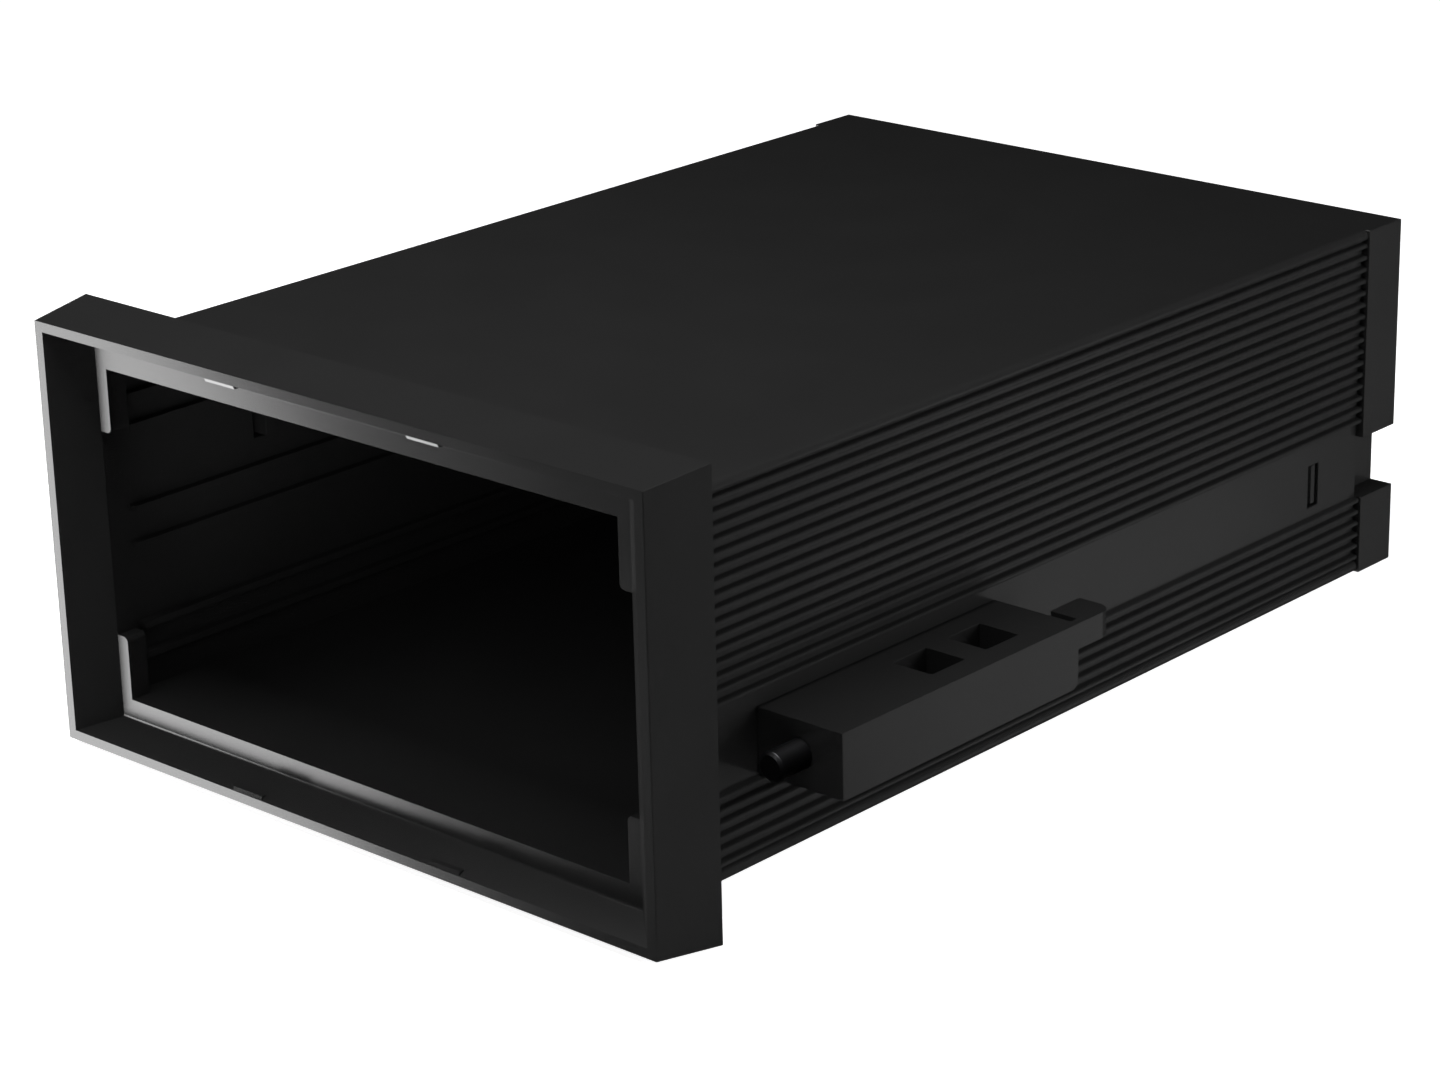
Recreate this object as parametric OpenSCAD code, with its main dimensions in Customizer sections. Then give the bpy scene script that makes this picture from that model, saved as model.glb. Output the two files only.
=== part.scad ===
// Panel mount enclosure: a deep ribbed housing with a front frame, a clip-on rear cover
// and two side clamps whose screws press on the back of the panel.
// Millimetres. X runs across the front, Y runs from front to rear, Z is up.
// The origin is the centre of the panel cut-out, in the plane of the frame's rear face.

/* [Front frame] */
// Width of the front frame at its rear face
frame_w = 144; // [110:0.5:192]
// Height of the front frame at its rear face
frame_h = 78.6; // [60:0.1:144]
// Depth of the front frame in front of the panel
frame_d = 12.9; // [9:0.1:20]
// Draft of the frame's left and right faces over its depth
side_draft = 1.9; // [0.5:0.05:3]
// Draft of the frame's top and bottom faces over its depth
top_draft = 1.35; // [0.5:0.05:3]
// Width of the front rim at the left and right
side_rim = 1.95; // [1:0.05:4]
// Width of the front rim at the top and bottom
top_rim = 1.75; // [1:0.05:4]
// Depth of the sloped recess, from the front rim to the ledge
recess_d = 5.8; // [3:0.1:8]
// Radius of the hollow corner between the ledge and the recess's top and bottom walls
ledge_r = 0.6; // [0.4:0.1:2]
// How far the ledge reaches past the housing's top and bottom faces
ledge_over = 0.65; // [0.1:0.05:1.5]
// Length of the ring behind the recess that carries the corner tabs
ring_len = 4; // [2:0.1:6]
// Overhang of the frame past the housing at the left and right
side_lip = 6.1; // [4:0.1:12]
// Overhang of the frame past the housing at the top and bottom
top_lip = 6.25; // [4:0.05:12]
// Wall left outside the hollow in the frame's rear face
rear_rim = 2.2; // [1.5:0.1:3]
// Depth of the hollow in the frame's rear face
rear_hollow = 5; // [2:0.1:7]

/* [Recess details] */
// Width of the corner tabs for the front plate
tab_w = 2.55; // [1:0.05:5]
// Height of the corner tabs
tab_h = 11.5; // [5:0.1:20]
// Radius of a corner tab's free corner
tab_r = 1; // [0.3:0.1:2]
// Distance of the snap lugs from the middle
lug_x = 23.5; // [10:0.5:45]
// Width of a snap lug
lug_w = 7; // [3:0.1:12]
// Height of a snap lug over the recess wall
lug_h = 0.6; // [0.3:0.1:2]
// Distance of a snap lug from the front rim
lug_in = 0.1; // [0.1:0.1:1]

/* [Housing] */
// Length of the housing behind the panel, up to the rear cover
housing_len = 183.9; // [120:0.1:260]
// Thickness of the top and bottom walls
top_wall = 3.05; // [2:0.05:5]
// Thickness of the side walls under the ribs
side_wall = 2.8; // [2:0.05:4]
// Height of the side ribs, and radius of the rounded long edges
rib_h = 1.1; // [0.5:0.05:2]
// Wanted spacing of the side ribs
rib_pitch = 2.23; // [1.8:0.01:4]
// Width of a rib at its crest
rib_crest = 0.72; // [0.3:0.01:1]
// Width of a rib at its foot
rib_foot = 1.44; // [0.8:0.01:1.7]
// Clear height of the smooth band over a clamp
band_over = 2.6; // [1:0.1:8]
// Clear height of the smooth band under a clamp
band_under = 0.15; // [0.1:0.05:2]
// Distance of the middle pair of guide rails from the centre
guide_mid = 3.3; // [2:0.1:5]
// Distance of the inner edge rails from the centre
guide_low = 18; // [17:0.1:20]
// Distance of the outer edge rails from the centre
guide_high = 23.5; // [22:0.1:27]
// Thickness of a guide rail
guide_t = 1.2; // [0.8:0.1:2]
// Height of a guide rail
guide_h = 1.7; // [1:0.1:2.4]

/* [Rear cover] */
// Depth of the rear cover's flange
cover_d = 10.4; // [6:0.1:20]
// How far the flange stands out past the rib crests
cover_proud = 0.4; // [0:0.05:1]
// Thickness of the rear plate
cover_plate = 2.4; // [1.5:0.1:4]
// Length of the collar that enters the housing
collar_len = 6; // [3:0.1:10]
// Wall of the collar and of the snap arms
collar_wall = 1.8; // [1.2:0.1:3]
// Clearance between the collar and the housing
collar_gap = 0.3; // [0.1:0.05:0.5]
// Distance of the snap windows from the housing's rear end
latch_in = 12.2; // [9:0.1:20]
// How deep the snap noses lie under the smooth band
nose_under = 0.5; // [0.3:0.05:1.5]

/* [Clamps] */
// Distance of a clamp's front from the panel face
clamp_front = 16.7; // [12:0.1:30]
// Length of a clamp without its tongue
clamp_len = 59.5; // [45:0.1:80]
// Height of a clamp
clamp_h = 11.3; // [10:0.1:13]
// How far a clamp stands out from the smooth band
clamp_out = 17.5; // [14:0.1:24]
// Distance of the clamp's middle from the centre of the housing
clamp_off = 12.35; // [11:0.05:13]
// Radius of the rear corners of the clamp and its tongue on the side away from the pockets
clamp_r = 1.6; // [0.5:0.1:4]
// Width of the square pockets
pocket_w = 8; // [6:0.1:10]
// Length of the square pockets
pocket_len = 8.4; // [5:0.1:10]
// Depth of the square pockets
pocket_d = 8.8; // [5:0.1:9.5]
// Distance of the first pocket from the clamp's front
pocket_in = 27.4; // [15:0.1:35]
// Spacing of the two pockets
pocket_pitch = 13.8; // [11:0.1:18]
// Length of the tongue behind the clamp
tongue_len = 9.5; // [6:0.1:12]
// Height of the tongue
tongue_h = 4.5; // [3:0.1:8]
// Thickness of the tongue's head
tongue_t = 7.2; // [4:0.1:9]
// Radius of the head's outer rear corner
tongue_r = 3; // [1:0.1:3.5]
// Thickness of the skin that carries the tongue
skin_t = 1.7; // [1:0.1:3]
// Width of the slit between the clamp and the tongue's head
slit_w = 1.8; // [1:0.1:3]

/* [Hooks and windows] */
// Length of the windows in the side walls
window_len = 3.2; // [3:0.1:5]
// Height of a clamp over and under its windows
window_in = 1.6; // [1:0.1:3]
// Thickness of a hook's stem
stem_t = 1.5; // [1:0.1:1.6]
// How far a hook's nose reaches behind the wall
hook_nose = 1.2; // [0.5:0.1:1.2]
// Thickness of a hook's nose
hook_t = 1.5; // [1:0.1:2]
// Distance of the first hook from the clamp's front
hook_first = 10; // [5:0.1:15]
// Spacing of the two hooks
hook_pitch = 36; // [25:0.1:40]
// Clearance between pieces that snap or slide together
snap_gap = 0.4; // [0.15:0.05:0.5]
// Clearance between pieces that are seated on each other
seat_gap = 0.1; // [0.05:0.05:0.2]

/* [Clamp screws] */
// Diameter of the clamp screws
screw_d = 5; // [4:0.5:6]
// Length of the clamp screws
screw_len = 60; // [45:1:62]
// How far a screw stands out in front of its clamp
screw_out = 7; // [3:0.1:10]
// Radial clearance of a screw in its clamp
screw_gap = 0.08; // [0.05:0.01:0.1]
// Width of the driver slot in a screw's rear end
slot_w = 0.8; // [0.5:0.1:1.2]
// Depth of the driver slot
slot_d = 1.6; // [1:0.1:2.5]
// Chamfer on both ends of a screw
screw_edge = 0.5; // [0.2:0.1:1]

/* [Hidden] */
$fn = 48;
black_plastic = [0.07, 0.07, 0.075];
black_steel = [0.1, 0.1, 0.105];
far = 400;
over = 1;

// Front frame: half sizes at the rear face, the front face and the rim's inner edge
frame_x = frame_w / 2;
frame_z = frame_h / 2;
front_x = frame_x - side_draft;
front_z = frame_z - top_draft;
rim_x = front_x - side_rim;
rim_z = front_z - top_rim;
ledge_y = recess_d - frame_d;
ring_y = ledge_y + ring_len;

// Housing: half sizes over the rib crests, at the smooth side wall and inside
crest_x = frame_x - side_lip;
wall_x = crest_x - rib_h;
tube_z = frame_z - top_lip;
bore_x = wall_x - side_wall;
bore_z = tube_z - top_wall;
ring_step = 0.25;
ring_x = bore_x - ring_step;
ledge_z = tube_z + ledge_over;
bead_z = tube_z - rib_h;

// Side ribs: a whole number of spaces between the two rounded long edges
rib_top = bead_z + rib_h / 3;
rib_spaces = round(2 * rib_top / rib_pitch);
rib_step = 2 * rib_top / rib_spaces;
band_top = clamp_h / 2 - clamp_off + band_over;
band_low = -clamp_h / 2 - clamp_off - band_under;

// Rear cover
cover_y = housing_len + cover_d;
cover_x = crest_x + cover_proud;
collar_x = bore_x - collar_gap;
collar_z = bore_z - collar_gap;
collar_y = housing_len - collar_len;
notch_gap = 0.2;

// Windows and hooks
window_h = clamp_h - 2 * window_in;
hook_h = window_h - 2 * snap_gap;
latch_y = housing_len - latch_in - window_len;
hook_y = [for (k = [0, 1]) clamp_front + hook_first + k * hook_pitch];
guide_rear = collar_y - seat_gap;
guide_front = ring_y + over;

// Clamp: inner and outer faces, screw axis and screw ends
clamp_x = wall_x + seat_gap;
outer_x = wall_x + clamp_out;
axis_x = (clamp_x + outer_x) / 2;
clamp_y = clamp_front + clamp_len;
clamp_top = clamp_h / 2 - clamp_off;
clamp_low = -clamp_h / 2 - clamp_off;
tip_y = clamp_front - screw_out;

// Extrudes a profile drawn in X and Z from y0 to y1
module along_y(y0, y1) {
  translate([0, y1, 0])
    rotate([90, 0, 0])
      linear_extrude(y1 - y0)
        children();
}

// Extrudes a profile drawn in Y and Z from x0 to x1
module along_x(x0, x1) {
  translate([x0, 0, 0])
    rotate([90, 0, 90])
      linear_extrude(x1 - x0)
        children();
}

// Extrudes a profile drawn in X and Y from z0 to z1
module along_z(z0, z1) {
  translate([0, 0, z0])
    linear_extrude(z1 - z0)
      children();
}

// Box from one corner to the opposite one
module box(low, high) {
  translate(low)
    cube(high - low);
}

// Block with flat sloped sides: half sizes x0, z0 at depth y0 and x1, z1 at depth y1
module taper_block(y0, y1, x0, x1, z0, z1) {
  intersection() {
    along_z(-far, far)
      polygon([[-x0, y0], [x0, y0], [x1, y1], [-x1, y1]]);
    along_x(-far, far)
      polygon([[y0, -z0], [y1, -z1], [y1, z1], [y0, z0]]);
  }
}

// Repeats a right-hand feature on the left, half a turn about the depth axis
module both_sides() {
  children();
  rotate([0, 180, 0])
    children();
}

// Outline of the ribbed side: long bead edges, ribs and the smooth band between them
module ribbed_side() {
  square([2 * wall_x, 2 * tube_z], center = true);
  for (s = [-1, 1])
    translate([wall_x, s * bead_z])
      circle(rib_h);
  for (k = [1 : rib_spaces - 1]) {
    z = rib_top - k * rib_step;
    if (z - rib_foot / 2 > band_top || z + rib_foot / 2 < band_low)
      translate([wall_x, z])
        polygon([[-over, -rib_foot / 2], [0, -rib_foot / 2], [rib_h, -rib_crest / 2],
                 [rib_h, rib_crest / 2], [0, rib_foot / 2], [-over, rib_foot / 2]]);
  }
}

// Outer form of the tube behind the frame
module tube_form() {
  along_y(-over, housing_len) {
    ribbed_side();
    rotate(180)
      ribbed_side();
  }
}

// Sloped recess in the front of the frame, carried on past the front rim.
// Its top and bottom walls run into the ledge in a hollow corner.
module recess_cut() {
  slope_x = (rim_x - ring_x) / recess_d;
  slope_z = (rim_z - ledge_z) / recess_d;
  front_y = -frame_d - over;
  tilt = atan(slope_z);
  corner_y = ledge_y - ledge_r;
  corner_z = ledge_z + ledge_r * slope_z - ledge_r / cos(tilt);
  wall = [[front_y, rim_z + over * slope_z], [corner_y + ledge_r * sin(tilt), corner_z + ledge_r * cos(tilt)],
          [ledge_y, corner_z], [ledge_y, 0], [front_y, 0]];
  intersection() {
    along_z(-far, far)
      polygon([[-rim_x - over * slope_x, front_y], [rim_x + over * slope_x, front_y],
               [ring_x, ledge_y], [-ring_x, ledge_y]]);
    along_x(-far, far)
      for (m = [0, 1])
        mirror([0, m]) {
          polygon(wall);
          translate([corner_y, corner_z])
            circle(ledge_r);
        }
  }
}

// Hollow in the frame's rear face, between the tube and the outer rim
module rear_hollow_cut() {
  along_y(-rear_hollow, over)
    difference() {
      square([2 * (frame_x - rear_rim), 2 * (frame_z - rear_rim)], center = true);
      square([2 * (crest_x + rear_rim / 2), 2 * (tube_z + rear_rim / 2)], center = true);
    }
}

// Corner tab that a front plate rests on, at the upper right
module corner_tab() {
  x0 = ring_x - tab_w;
  z0 = bore_z - tab_h;
  along_y(ledge_y, ring_y) {
    translate([x0 + tab_r, z0])
      square([tab_w - tab_r + over, tab_h + over]);
    translate([x0, z0 + tab_r])
      square([tab_w + over, tab_h - tab_r + over]);
    translate([x0 + tab_r, z0 + tab_r])
      circle(tab_r);
  }
}

// Snap lug on the recess wall at the top, a wedge that a front plate clicks behind
module snap_lug() {
  slope = (rim_z - ledge_z) / recess_d;
  y0 = lug_in - frame_d;
  y1 = y0 + lug_h / 2;
  z0 = rim_z - lug_in * slope;
  z1 = z0 - lug_h;
  y2 = y0 + lug_h / slope;
  along_x(lug_x - lug_w / 2, lug_x + lug_w / 2)
    polygon([[y0, z0], [y1, z1], [y2, z1], [y2 + over, z0 + over / 2], [y0, z0 + over / 2]]);
}

// Guide rails for circuit boards on the right inner wall
module guide_rails() {
  for (s = [-1, 1], z = [guide_mid, guide_low, guide_high])
    box([bore_x - guide_h, guide_front, s * z - guide_t / 2],
        [bore_x + over, guide_rear, s * z + guide_t / 2]);
}

// Window through the right side wall, with its front edge at y
module window(y) {
  box([bore_x - over, y, -clamp_off - window_h / 2],
      [wall_x + over, y + window_len, -clamp_off + window_h / 2]);
}

module housing() {
  color(black_plastic) {
    difference() {
      union() {
        taper_block(-frame_d, 0, front_x, frame_x, front_z, frame_z);
        tube_form();
      }
      recess_cut();
      box([-ring_x, ledge_y - over, -bore_z], [ring_x, ring_y + over, bore_z]);
      box([-bore_x, ring_y, -bore_z], [bore_x, housing_len + over, bore_z]);
      rear_hollow_cut();
      both_sides() {
        window(latch_y);
        for (y = hook_y)
          window(y);
      }
    }
    both_sides() {
      corner_tab();
      mirror([0, 0, 1])
        corner_tab();
      guide_rails();
      snap_lug();
      mirror([1, 0, 0])
        snap_lug();
    }
  }
}

// Snap arm of the rear cover on the right, with the nose that sits in the window
module snap_arm() {
  nose_x = wall_x - nose_under;
  y0 = latch_y + snap_gap;
  y1 = latch_y + window_len - snap_gap;
  z0 = -clamp_off - hook_h / 2;
  along_z(z0, z0 + hook_h)
    polygon([[collar_x - collar_wall, y0 - over], [collar_x, y0 - over], [collar_x, y0],
             [nose_x, (y0 + y1) / 2], [nose_x, y1], [collar_x, y1],
             [collar_x, collar_y + over], [collar_x - collar_wall, collar_y + over]]);
}

// Recess in the right edge of the flange that lines up with the clamp
module flange_notch() {
  box([collar_x, housing_len - over, clamp_low - notch_gap],
      [cover_x + over, cover_y + over, clamp_top + notch_gap]);
}

module rear_cover() {
  color(black_plastic) {
    difference() {
      union() {
        box([-cover_x, housing_len, -tube_z], [cover_x, cover_y, tube_z]);
        box([-collar_x, collar_y, -collar_z], [collar_x, cover_y, collar_z]);
      }
      box([collar_wall - collar_x, collar_y - over, collar_wall - collar_z],
          [collar_x - collar_wall, cover_y - cover_plate, collar_z - collar_wall]);
      both_sides()
        flange_notch();
    }
    both_sides()
      snap_arm();
  }
}

// Hook on the clamp's inner face that reaches through a window and behind its rear edge
module clamp_hook(y) {
  y1 = y + window_len - seat_gap;
  y0 = y1 - stem_t;
  x1 = bore_x - seat_gap;
  x0 = x1 - hook_t;
  along_z(-clamp_off - hook_h / 2, -clamp_off + hook_h / 2)
    polygon([[clamp_x + over, y0], [clamp_x + over, y1], [x1, y1], [x1, y1 + hook_nose],
             [x0, y1 + hook_nose / 2], [x0, y0]]);
}

// Block of the clamp, its outer rear corner rounded on the low side
module clamp_block() {
  along_x(clamp_x, outer_x) {
    translate([clamp_front, clamp_low + clamp_r])
      square([clamp_len, clamp_h - clamp_r]);
    translate([clamp_front, clamp_low])
      square([clamp_len - clamp_r, clamp_h]);
    translate([clamp_y - clamp_r, clamp_low + clamp_r])
      circle(clamp_r);
  }
}

// Springy tongue behind the block: a skin flush with the outer face and a head with rounded corners
module clamp_tongue() {
  head_y = clamp_y + slit_w;
  end_y = clamp_y + tongue_len;
  x0 = outer_x - tongue_t;
  low = clamp_top - tongue_h;
  intersection() {
    along_z(low, clamp_top) {
      translate([outer_x - skin_t, clamp_y - over])
        square([skin_t, slit_w + 2 * over]);
      translate([x0, head_y])
        square([tongue_t, end_y - tongue_r - head_y]);
      translate([x0, head_y])
        square([tongue_t - tongue_r, end_y - head_y]);
      translate([outer_x - tongue_r, end_y - tongue_r])
        circle(tongue_r);
    }
    along_x(x0 - over, outer_x + over) {
      translate([clamp_y - over, low + clamp_r])
        square([tongue_len + over, tongue_h - clamp_r]);
      translate([clamp_y - over, low])
        square([tongue_len + over - clamp_r, tongue_h]);
      translate([end_y - clamp_r, low + clamp_r])
        circle(clamp_r);
    }
  }
}

module clamp() {
  color(black_plastic)
    difference() {
      union() {
        clamp_block();
        clamp_tongue();
        for (y = hook_y)
          clamp_hook(y);
      }
      for (k = [0, 1])
        translate([axis_x - pocket_w / 2, clamp_front + pocket_in + k * pocket_pitch, clamp_top - pocket_d])
          cube([pocket_w, pocket_len, pocket_d + over]);
      translate([axis_x, clamp_front - over, -clamp_off])
        rotate([-90, 0, 0])
          cylinder(r = screw_d / 2 + screw_gap, h = clamp_len + 2 * over);
    }
}

// Headless screw with a flat tip in front and a driver slot in its rear end
module clamp_screw() {
  r = screw_d / 2;
  color(black_steel)
    translate([axis_x, tip_y, -clamp_off])
      rotate([-90, 0, 0])
        difference() {
          rotate_extrude()
            polygon([[0, 0], [r - screw_edge, 0], [r, screw_edge], [r, screw_len - screw_edge],
                     [r - screw_edge, screw_len], [0, screw_len]]);
          translate([-screw_d, -slot_w / 2, screw_len - slot_d])
            cube([2 * screw_d, slot_w, slot_d + over]);
        }
}

module right_clamp() {
  clamp();
}

module left_clamp() {
  rotate([0, 180, 0])
    clamp();
}

module right_clamp_screw() {
  clamp_screw();
}

module left_clamp_screw() {
  rotate([0, 180, 0])
    clamp_screw();
}

housing();
rear_cover();
right_clamp();
left_clamp();
right_clamp_screw();
left_clamp_screw();
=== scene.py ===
import math

import bmesh
import bpy
from mathutils import Matrix, Vector


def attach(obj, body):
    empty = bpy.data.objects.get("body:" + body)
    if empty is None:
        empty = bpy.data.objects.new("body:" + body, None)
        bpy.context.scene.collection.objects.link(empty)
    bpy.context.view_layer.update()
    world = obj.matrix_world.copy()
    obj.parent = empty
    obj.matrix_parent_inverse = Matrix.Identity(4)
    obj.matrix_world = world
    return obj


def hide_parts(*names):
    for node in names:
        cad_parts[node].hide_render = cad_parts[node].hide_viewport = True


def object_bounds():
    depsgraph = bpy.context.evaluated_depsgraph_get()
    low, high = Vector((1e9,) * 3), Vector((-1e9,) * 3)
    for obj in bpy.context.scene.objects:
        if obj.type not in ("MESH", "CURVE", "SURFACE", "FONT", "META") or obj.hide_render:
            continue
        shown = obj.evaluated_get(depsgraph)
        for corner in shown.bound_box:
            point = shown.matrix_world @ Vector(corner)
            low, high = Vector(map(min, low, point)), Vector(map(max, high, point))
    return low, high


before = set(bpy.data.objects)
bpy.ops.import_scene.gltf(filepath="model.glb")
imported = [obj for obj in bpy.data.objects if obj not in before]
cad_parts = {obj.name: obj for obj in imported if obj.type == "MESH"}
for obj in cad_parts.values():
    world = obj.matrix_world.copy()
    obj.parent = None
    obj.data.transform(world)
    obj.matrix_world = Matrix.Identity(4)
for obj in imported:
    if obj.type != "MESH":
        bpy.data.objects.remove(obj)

cad_low, cad_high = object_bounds()

MM = 0.001

# Camera: in front of the right side and a little above, with its own axes; lens and sensor in millimetres
CAMERA_PLACE = (0.44192, -0.40221, 0.22590)
CAMERA_RIGHT = (0.742530, 0.669434, -0.022536)
CAMERA_UP = (-0.213178, 0.268083, 0.939514)
CAMERA_BACK = (0.634984, -0.692813, 0.341768)
CAMERA_LENS = 98.04
CAMERA_SENSOR = 36.0
CAMERA_NEAR = 10 * MM

# Moulded edges: outer edges steeper than the angle are rounded, and the long ones of the ribs most.
# Other edges that meet one shorter than the room stay sharp, and so do those round the front opening.
RIB_ROUND = 0.3 * MM
RIB_LENGTH = 100 * MM
EDGE_ROUND = 0.15 * MM
EDGE_ROOM = 1.75 * MM
EDGE_ANGLE = math.radians(25)
EDGE_STEPS = 2

# Copies of the CAD meshes: points this near are merged, and faces this flat to each other are joined
MERGE_WITHIN = 0.0005 * MM
FLAT_WITHIN = math.radians(0.3)

# Clamp screws: a smooth pin in front, the thread behind it and a driver slot in the rear end
SCREW_SIZES = {
    "Thread Depth": 0.43 * MM,
    "Pitch": 0.8 * MM,
    "Pin Length": 10 * MM,
    "Chamfer": 0.5 * MM,
    "Slot Width": 0.8 * MM,
    "Slot Depth": 1.6 * MM,
}
SCREW_SIDES = 48
SCREW_SHARP = math.radians(35)
RINGS_PER_TURN = 10

# Shares of a turn of the thread: from crest to root, and where its flank starts and ends on the way
CREST_TO_ROOT = 0.5
FLANK_START = 0.07
FLANK_END = 0.43

# Blade that cuts the driver slot: its length in screw radii and its height in slot depths
BLADE_LENGTH = 4.0
BLADE_HEIGHT = 2.0

# Colours as they look in plain light
ABS_BLACK = "#1c1c1c"
ABS_BLACK_PALE = "#202020"
OXIDE_BLACK = "#474749"
FLOOR_WHITE = "#f2f2f2"
STUDIO_WHITE = "#ffffff"

# Limit between the first mirroring of a lamp and the second
MIRROR_DEPTH = 1.5

# Floor: half its width, and the glow that makes it look white
FLOOR_HALF = 12.0
FLOOR_GLOW = 0.93


def linear(hex_text):
    """Linear colour with alpha from a hex sRGB colour."""
    values = [int(hex_text[i:i + 2], 16) / 255 for i in (1, 3, 5)]
    return [v / 12.92 if v <= 0.04045 else ((v + 0.055) / 1.055) ** 2.4 for v in values] + [1.0]


def add_node(tree, kind, inputs=None, **settings):
    """Outputs of a new node with its settings; each input is a value or the output that it is linked to."""
    node = tree.nodes.new(kind)
    for key, value in settings.items():
        setattr(node, key, value)
    for key, value in (inputs or {}).items():
        if isinstance(value, bpy.types.NodeSocket):
            tree.links.new(value, node.inputs[key])
        else:
            node.inputs[key].default_value = value
    return node.outputs


def add_object(name, data):
    """New object in the scene."""
    thing = bpy.data.objects.new(name, data)
    bpy.context.scene.collection.objects.link(thing)
    return thing


def new_material(name):
    """Material with an empty node tree."""
    material = bpy.data.materials.new(name)
    material.use_nodes = True
    material.node_tree.nodes.clear()
    return material, material.node_tree


def grain(tree, place, size_mm, strength, depth_mm):
    """Normal of a fine even grain."""
    noise = add_node(tree, "ShaderNodeTexNoise", {
        "Vector": place, "Scale": 1 / (size_mm * MM), "Detail": 3.0, "Roughness": 0.6,
    })["Fac"]
    return add_node(tree, "ShaderNodeBump", {
        "Height": noise, "Strength": strength, "Distance": depth_mm * MM,
    })["Normal"]


def drift(tree, place, size_mm, low, high):
    """Value that drifts between two limits over the surface."""
    noise = add_node(tree, "ShaderNodeTexNoise", {
        "Vector": place, "Scale": 1 / (size_mm * MM), "Detail": 2.0,
    })["Fac"]
    return add_node(tree, "ShaderNodeMapRange", {"Value": noise, "To Min": low, "To Max": high})["Result"]


# Moulded black ABS: satin faces with a fine even grain, whose gloss and shade drift a little
def moulded_black_abs():
    material, tree = new_material("moulded_black_abs")
    place = add_node(tree, "ShaderNodeTexCoord")["Object"]
    shade = add_node(tree, "ShaderNodeMix", {
        "Factor": drift(tree, place, size_mm=18, low=0.0, high=1.0),
        "A": linear(ABS_BLACK),
        "B": linear(ABS_BLACK_PALE),
    }, data_type="RGBA")["Result"]
    shader = add_node(tree, "ShaderNodeBsdfPrincipled", {
        "Base Color": shade,
        "Roughness": drift(tree, place, size_mm=40, low=0.20, high=0.25),
        "IOR": 1.52,
        "Normal": grain(tree, place, size_mm=0.35, strength=0.12, depth_mm=0.02),
    })["BSDF"]
    add_node(tree, "ShaderNodeOutputMaterial", {"Surface": shader})
    return material


# Steel with a black oxide finish: a dark metal that shows soft lights along its round sides
def black_oxide_steel():
    material, tree = new_material("black_oxide_steel")
    place = add_node(tree, "ShaderNodeTexCoord")["Object"]
    shader = add_node(tree, "ShaderNodeBsdfPrincipled", {
        "Base Color": linear(OXIDE_BLACK),
        "Metallic": 1.0,
        "Roughness": drift(tree, place, size_mm=4, low=0.36, high=0.48),
        "Normal": grain(tree, place, size_mm=0.2, strength=0.08, depth_mm=0.01),
    })["BSDF"]
    add_node(tree, "ShaderNodeOutputMaterial", {"Surface": shader})
    return material


def finished_mesh(piece):
    """Plain mesh that a piece's modifier makes; the piece gets it and loses the modifier."""
    graph = bpy.context.evaluated_depsgraph_get()
    mesh = bpy.data.meshes.new_from_object(piece.evaluated_get(graph))
    piece.modifiers.clear()
    piece.data = mesh
    return mesh


def steep_edge(edge):
    """Whether the faces on either side of an edge meet at an angle that shows."""
    return edge.calc_face_angle(math.pi) > EDGE_ANGLE


def opening_edge(edge):
    """Whether an edge is round the opening: in front of the panel, beside a face that looks inward."""
    middle = (edge.verts[0].co + edge.verts[1].co) / 2
    inward = any(face.normal.x * middle.x + face.normal.z * middle.z < 0 for face in edge.link_faces)
    return middle.y < 0 and inward


def rib_edge(edge):
    """Whether an edge runs along the ribs: a long way front to rear, beside a face that looks outward."""
    start, end = edge.verts[0].co, edge.verts[1].co
    outward = any(face.normal.x * start.x > 0 for face in edge.link_faces)
    return abs(end.y - start.y) > RIB_LENGTH and outward


def rounding_share(edge):
    """Share of the ribs' rounding that a mould gives an edge."""
    if not edge.is_convex or not steep_edge(edge) or opening_edge(edge):
        return 0.0
    if rib_edge(edge):
        return 1.0
    room = min(beside.calc_length() for vertex in edge.verts for beside in vertex.link_edges)
    return EDGE_ROUND / RIB_ROUND if room > EDGE_ROOM else 0.0


def moulding_mesh(node):
    """Merged copy of a CAD node's mesh, with steep edges sharp and each edge's share of rounding."""
    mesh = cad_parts[node].data.copy()
    mesh.attributes.remove(mesh.attributes["custom_normal"])
    form = bmesh.new()
    form.from_mesh(mesh)
    bmesh.ops.remove_doubles(form, verts=form.verts, dist=MERGE_WITHIN)
    bmesh.ops.dissolve_limit(form, angle_limit=FLAT_WITHIN, verts=form.verts, edges=form.edges)
    weight = form.edges.layers.float.new("bevel_weight_edge")
    for edge in form.edges:
        edge.smooth = not steep_edge(edge)
        edge[weight] = rounding_share(edge)
    form.to_mesh(mesh)
    form.free()
    return mesh


def moulded_piece(node, material):
    """Moulding in the place of its CAD node, with its outer edges rounded."""
    piece = add_object(node + "_moulding", moulding_mesh(node))
    rounding = piece.modifiers.new("edge_rounding", "BEVEL")
    rounding.limit_method = "WEIGHT"
    rounding.width = RIB_ROUND
    rounding.segments = EDGE_STEPS
    rounding.use_clamp_overlap = False
    rounding.harden_normals = True
    mesh = finished_mesh(piece)
    mesh.materials.clear()
    mesh.materials.append(material)
    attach(piece, "case")
    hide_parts(node)


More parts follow.
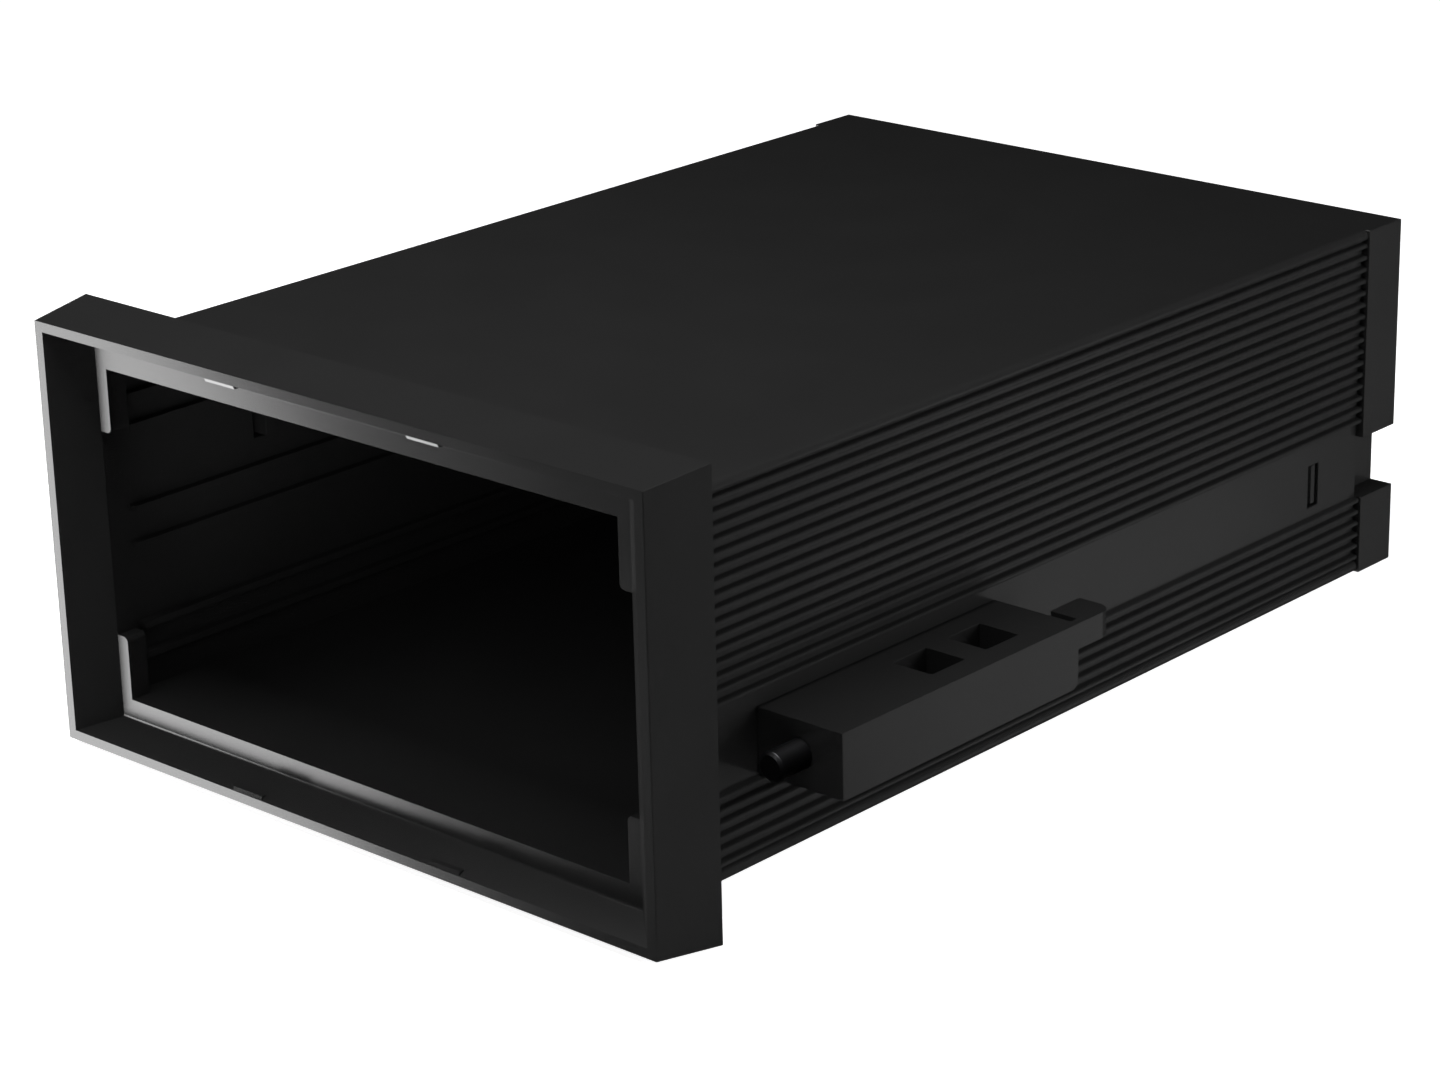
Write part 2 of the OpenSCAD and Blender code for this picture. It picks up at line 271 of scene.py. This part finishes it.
def thread_depth(tree, size, axes, half):
    """How far the thread draws the screw in: a wave along the helix, from the end of the pin on."""
    angle = add_node(tree, "ShaderNodeMath", {0: axes["Y"], 1: axes["X"]}, operation="ARCTAN2")[0]
    turn = add_node(tree, "ShaderNodeMath", {0: angle, 1: math.tau}, operation="DIVIDE")[0]
    rise = add_node(tree, "ShaderNodeMath", {0: axes["Z"], 1: size["Pitch"]}, operation="DIVIDE")[0]
    helix = add_node(tree, "ShaderNodeMath", {0: rise, 1: turn}, operation="SUBTRACT")[0]
    wave = add_node(tree, "ShaderNodeMath", {0: helix, 1: CREST_TO_ROOT}, operation="PINGPONG")[0]
    groove = add_node(tree, "ShaderNodeMapRange", {
        "Value": wave, "From Min": FLANK_START, "From Max": FLANK_END,
        "To Min": 0.0, "To Max": size["Thread Depth"],
    })["Result"]
    pin_end = add_node(tree, "ShaderNodeMath", {0: size["Pin Length"], 1: half}, operation="SUBTRACT")[0]
    full = add_node(tree, "ShaderNodeMath", {0: pin_end, 1: size["Pitch"]}, operation="ADD")[0]
    start = add_node(tree, "ShaderNodeMapRange", {
        "Value": axes["Z"], "From Min": pin_end, "From Max": full,
    })["Result"]
    return add_node(tree, "ShaderNodeMath", {0: groove, 1: start}, operation="MULTIPLY")[0]


def chamfer_depth(tree, size, axes, half):
    """How far a chamfer draws the screw in, over the last stretch at either end."""
    height = add_node(tree, "ShaderNodeMath", {0: axes["Z"]}, operation="ABSOLUTE")[0]
    shoulder = add_node(tree, "ShaderNodeMath", {0: half, 1: size["Chamfer"]}, operation="SUBTRACT")[0]
    return add_node(tree, "ShaderNodeMapRange", {
        "Value": height, "From Min": shoulder, "From Max": half,
        "To Min": 0.0, "To Max": size["Chamfer"],
    })["Result"]


def slot_blade(tree, size, half):
    """Block that cuts the driver slot across the rear end."""
    across = add_node(tree, "ShaderNodeMath", {
        0: size["Radius"], 1: BLADE_LENGTH,
    }, operation="MULTIPLY")[0]
    deep = add_node(tree, "ShaderNodeMath", {
        0: size["Slot Depth"], 1: BLADE_HEIGHT,
    }, operation="MULTIPLY")[0]
    blade_size = add_node(tree, "ShaderNodeCombineXYZ", {"X": across, "Y": size["Slot Width"], "Z": deep})
    blade = add_node(tree, "GeometryNodeMeshCube", {"Size": blade_size["Vector"]})
    rear = add_node(tree, "ShaderNodeCombineXYZ", {"Z": half})
    return add_node(tree, "GeometryNodeTransform", {
        "Geometry": blade["Mesh"], "Translation": rear["Vector"],
    })["Geometry"]


def screw_tree(material):
    """Tree of a headless screw along Z with its tip at the bottom, drawn in by thread and chamfers."""
    tree = bpy.data.node_groups.new("clamp_screw", "GeometryNodeTree")
    for name in ("Length", "Radius", *SCREW_SIZES):
        tree.interface.new_socket(name, in_out="INPUT", socket_type="NodeSocketFloat")
    tree.interface.new_socket("Rings", in_out="INPUT", socket_type="NodeSocketInt")
    tree.interface.new_socket("Geometry", in_out="OUTPUT", socket_type="NodeSocketGeometry")
    size = add_node(tree, "NodeGroupInput")
    half = add_node(tree, "ShaderNodeMath", {0: size["Length"], 1: 2.0}, operation="DIVIDE")[0]
    blank = add_node(tree, "GeometryNodeMeshCylinder", {
        "Vertices": SCREW_SIDES, "Side Segments": size["Rings"],
        "Radius": size["Radius"], "Depth": size["Length"],
    })["Mesh"]

    # Points of the blank move toward the axis by the deeper of thread and chamfer
    place = add_node(tree, "GeometryNodeInputPosition")["Position"]
    axes = add_node(tree, "ShaderNodeSeparateXYZ", {"Vector": place})
    thread = thread_depth(tree, size, axes, half)
    chamfer = chamfer_depth(tree, size, axes, half)
    drawn = add_node(tree, "ShaderNodeMath", {0: thread, 1: chamfer}, operation="MAXIMUM")[0]
    share = add_node(tree, "ShaderNodeMath", {0: drawn, 1: size["Radius"]}, operation="DIVIDE")[0]
    inward = add_node(tree, "ShaderNodeVectorMath", {
        0: place, 1: (-1.0, -1.0, 0.0),
    }, operation="MULTIPLY")[0]
    offset = add_node(tree, "ShaderNodeVectorMath", {0: inward, "Scale": share}, operation="SCALE")[0]
    skin = add_node(tree, "GeometryNodeSetPosition", {"Geometry": blank, "Offset": offset})["Geometry"]

    blade = slot_blade(tree, size, half)
    slotted = add_node(tree, "GeometryNodeMeshBoolean", {
        "Mesh 1": skin, "Mesh 2": blade,
    }, operation="DIFFERENCE", solver="EXACT")["Mesh"]
    real = add_node(tree, "GeometryNodeRealizeInstances", {"Geometry": slotted})["Geometry"]
    finished = add_node(tree, "GeometryNodeSetMaterial", {"Geometry": real, "Material": material})
    add_node(tree, "NodeGroupOutput", {"Geometry": finished["Geometry"]})
    return tree


def node_box(node):
    """Lowest and highest corner of a CAD node."""
    points = [vertex.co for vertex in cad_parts[node].data.vertices]
    return (Vector([min(point[k] for point in points) for k in range(3)]),
            Vector([max(point[k] for point in points) for k in range(3)]))


def clamp_screw_piece(node, body, tree):
    """Threaded screw in the place of a clamp's plain CAD screw."""
    low, high = node_box(node)
    length = high.y - low.y
    rings = round(length / SCREW_SIZES["Pitch"] * RINGS_PER_TURN)
    sizes = dict(SCREW_SIZES, Length=length, Radius=(high.x - low.x) / 2, Rings=rings)
    name = node + "_threaded"
    piece = add_object(name, bpy.data.meshes.new(name + "_blank"))
    made = piece.modifiers.new("clamp_screw", "NODES")
    made.node_group = tree
    for socket in tree.interface.items_tree:
        if socket.in_out == "INPUT":
            made[socket.identifier] = sizes[socket.name]
    mesh = finished_mesh(piece)
    mesh.transform(Matrix.Translation((low + high) / 2) @ Matrix.Rotation(-math.pi / 2, 4, "X"))
    mesh.shade_smooth()
    mesh.set_sharp_from_angle(angle=SCREW_SHARP)
    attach(piece, body)
    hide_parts(node)


def add_camera():
    """Camera at its place, turned to its own axes."""
    data = bpy.data.cameras.new("photo_camera")
    data.sensor_fit = "HORIZONTAL"
    data.sensor_width = CAMERA_SENSOR
    data.lens = CAMERA_LENS
    data.clip_start = CAMERA_NEAR
    camera = add_object("photo_camera", data)
    turn = Matrix((CAMERA_RIGHT, CAMERA_UP, CAMERA_BACK)).transposed()
    camera.matrix_world = Matrix.Translation(CAMERA_PLACE) @ turn.to_4x4()
    bpy.context.scene.camera = camera


def mirror_once(lamp):
    """Puts a lamp out where glossy faces show it in one another, so that it is mirrored once."""
    lamp.use_nodes = True
    tree = lamp.node_tree
    tree.nodes.clear()
    depth = add_node(tree, "ShaderNodeLightPath")["Glossy Depth"]
    once = add_node(tree, "ShaderNodeMath", {0: depth, 1: MIRROR_DEPTH}, operation="LESS_THAN")[0]
    glow = add_node(tree, "ShaderNodeEmission", {"Strength": once})["Emission"]
    add_node(tree, "ShaderNodeOutputLight", {"Surface": glow})


def add_softbox(name, place, target, width, height, level, roll=0.0, mirrored=True, again=True):
    """Rectangular lamp of an even level, aimed at a target and rolled.

    Mirrored tells if glossy faces show it, and again tells if they also show it in one another.
    """
    data = bpy.data.lights.new(name, "AREA")
    data.shape = "RECTANGLE"
    data.size = width
    data.size_y = height
    data.energy = level * math.pi * width * height
    lamp = add_object(name, data)
    aim = (Vector(target) - Vector(place)).to_track_quat("-Z", "Y").to_matrix()
    lamp.rotation_euler = (aim @ Matrix.Rotation(math.radians(roll), 3, "Z")).to_euler()
    lamp.location = place
    lamp.visible_camera = False
    lamp.visible_glossy = mirrored
    if not again:
        mirror_once(data)


# White floor: shows white behind the object and keeps its shadow
def white_floor():
    material, tree = new_material("white_floor")
    path = add_node(tree, "ShaderNodeLightPath")
    seen = add_node(tree, "ShaderNodeMath", {
        0: path["Is Camera Ray"], 1: path["Is Glossy Ray"],
    }, operation="MAXIMUM")[0]
    shown = add_node(tree, "ShaderNodeMath", {
        0: seen, 1: path["Is Transmission Ray"],
    }, operation="MAXIMUM")[0]
    level = add_node(tree, "ShaderNodeMath", {0: shown, 1: FLOOR_GLOW}, operation="MULTIPLY")[0]
    glow = add_node(tree, "ShaderNodeEmission", {"Strength": level})["Emission"]
    paint = add_node(tree, "ShaderNodeBsdfDiffuse", {"Color": linear(FLOOR_WHITE)})["BSDF"]
    both = add_node(tree, "ShaderNodeAddShader", {0: paint, 1: glow})["Shader"]
    add_node(tree, "ShaderNodeOutputMaterial", {"Surface": both})
    return material


def add_floor():
    """Floor under the object; lamps shine through it, and satin faces mirror the dim studio instead."""
    corners = [(-FLOOR_HALF, -FLOOR_HALF), (FLOOR_HALF, -FLOOR_HALF),
               (FLOOR_HALF, FLOOR_HALF), (-FLOOR_HALF, FLOOR_HALF)]
    mesh = bpy.data.meshes.new("floor")
    mesh.from_pydata([(x, y, cad_low.z) for x, y in corners], [], [(0, 1, 2, 3)])
    mesh.materials.append(white_floor())
    floor = add_object("floor", mesh)
    floor.visible_glossy = False
    floor.visible_shadow = False


def add_world(low, high):
    """Dim studio, paler overhead, that shows white behind the object."""
    world = bpy.data.worlds.new("studio")
    bpy.context.scene.world = world
    world.use_nodes = True
    tree = world.node_tree
    tree.nodes.clear()
    place = add_node(tree, "ShaderNodeTexCoord")["Generated"]
    height = add_node(tree, "ShaderNodeSeparateXYZ", {"Vector": place})["Z"]
    dim = add_node(tree, "ShaderNodeMapRange", {"Value": height, "To Min": low, "To Max": high})["Result"]
    path = add_node(tree, "ShaderNodeLightPath")
    seen = add_node(tree, "ShaderNodeMath", {
        0: path["Is Camera Ray"], 1: path["Is Transmission Ray"],
    }, operation="MAXIMUM")[0]
    level = add_node(tree, "ShaderNodeMath", {0: seen, 1: dim}, operation="MAXIMUM")[0]
    glow = add_node(tree, "ShaderNodeBackground", {"Color": linear(STUDIO_WHITE), "Strength": level})
    add_node(tree, "ShaderNodeOutputWorld", {"Surface": glow["Background"]})


plastic = moulded_black_abs()
for moulding in ("housing", "rear_cover", "right_clamp", "left_clamp"):
    moulded_piece(moulding, plastic)
thread_tree = screw_tree(black_oxide_steel())
for side in ("right", "left"):
    clamp_screw_piece(side + "_clamp_screw", side + "_screw", thread_tree)

add_camera()
add_floor()
add_world(low=0.01, high=0.024)
add_softbox("overhead_softbox", place=(0.7, 0.0, 2.4), target=(0.0, 0.1, 0.0),
            width=3.0, height=3.0, level=0.2)
add_softbox("top_softbox", place=(0.0, -0.04, 0.31), target=(0.0, -0.04, 0.0),
            width=0.30, height=0.16, level=11.0)
add_softbox("left_softbox", place=(-0.193, -0.071, -0.071), target=(-0.053, 0.053, -0.001),
            width=0.142, height=0.20, level=6.2, roll=15, again=False)
add_softbox("right_softbox", place=(0.65, 0.84, -0.34), target=(0.07, 0.10, -0.01),
            width=0.2, height=0.36, level=0.34)
add_softbox("right_fill", place=(0.672, 0.391, 0.06), target=(0.07, 0.09, 0.0),
            width=0.3, height=0.3, level=10.5, mirrored=False)
add_softbox("right_wash", place=(0.95, 0.42, 0.0), target=(0.07, 0.06, 0.0),
            width=0.8, height=0.8, level=2.2, mirrored=False)
add_softbox("opening_fill", place=(0.01, -0.007, 0.013), target=(0.01, 0.1, 0.013),
            width=0.10, height=0.032, level=3.2, mirrored=False)

bpy.context.scene.view_settings.view_transform = "Standard"
